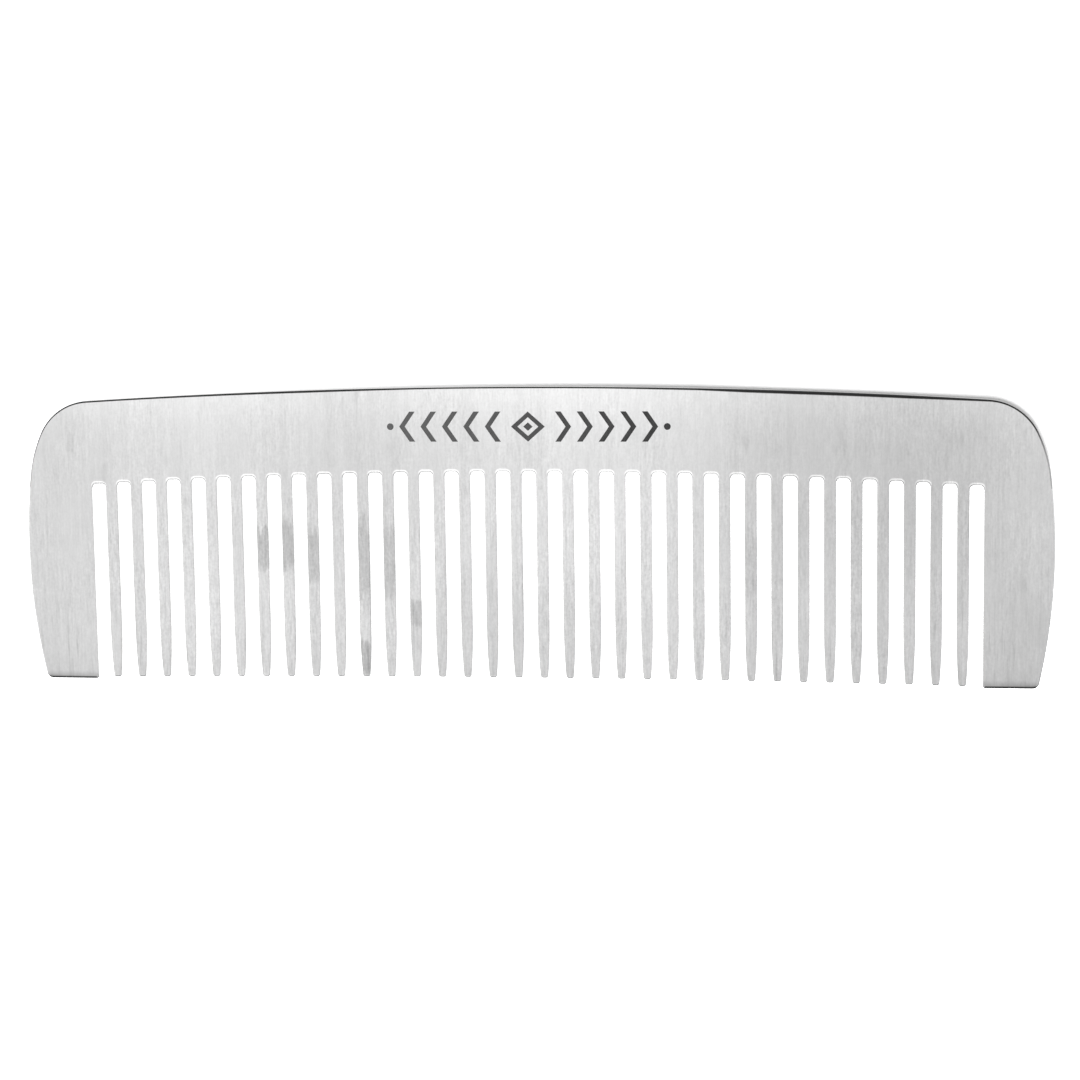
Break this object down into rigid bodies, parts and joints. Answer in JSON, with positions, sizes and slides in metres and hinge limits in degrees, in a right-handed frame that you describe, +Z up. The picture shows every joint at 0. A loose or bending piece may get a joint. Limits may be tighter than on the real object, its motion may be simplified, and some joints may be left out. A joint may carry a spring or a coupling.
{
  "type": "beard comb",
  "caption": "Flat pocket beard comb of brushed sheet steel with a bowed spine, rounded corners, end guards, fine tapered teeth and an etched ornament.",
  "frame": {"origin": "middle of the underside of the bounding box, on the comb's flat back face", "axes": "+X along the comb's length, +Y from the tooth tips to the spine, +Z up through the sheet towards the etched front face"},
  "size_m": [0.11, 0.0318, 0.001],
  "materials": {
    "brushed_steel": "brushed along the teeth, with smoothed edges",
    "etched_dark": "matte dark etching"
  },
  "bodies": {
    "root": {"spine": "brushed_steel", "left_guard": "brushed_steel", "right_guard": "brushed_steel", "tooth_01": "brushed_steel", "tooth_02": "brushed_steel", "tooth_03": "brushed_steel", "tooth_04": "brushed_steel", "tooth_05": "brushed_steel", "tooth_06": "brushed_steel", "tooth_07": "brushed_steel", "tooth_08": "brushed_steel", "tooth_09": "brushed_steel", "tooth_10": "brushed_steel", "tooth_11": "brushed_steel", "tooth_12": "brushed_steel", "tooth_13": "brushed_steel", "tooth_14": "brushed_steel", "tooth_15": "brushed_steel", "tooth_16": "brushed_steel", "tooth_17": "brushed_steel", "tooth_18": "brushed_steel", "tooth_19": "brushed_steel", "tooth_20": "brushed_steel", "tooth_21": "brushed_steel", "tooth_22": "brushed_steel", "tooth_23": "brushed_steel", "tooth_24": "brushed_steel", "tooth_25": "brushed_steel", "tooth_26": "brushed_steel", "tooth_27": "brushed_steel", "tooth_28": "brushed_steel", "tooth_29": "brushed_steel", "tooth_30": "brushed_steel", "tooth_31": "brushed_steel", "tooth_32": "brushed_steel", "tooth_33": "brushed_steel", "tooth_34": "brushed_steel", "etched_ornament": "etched_dark"}
  },
  "joints": []
}
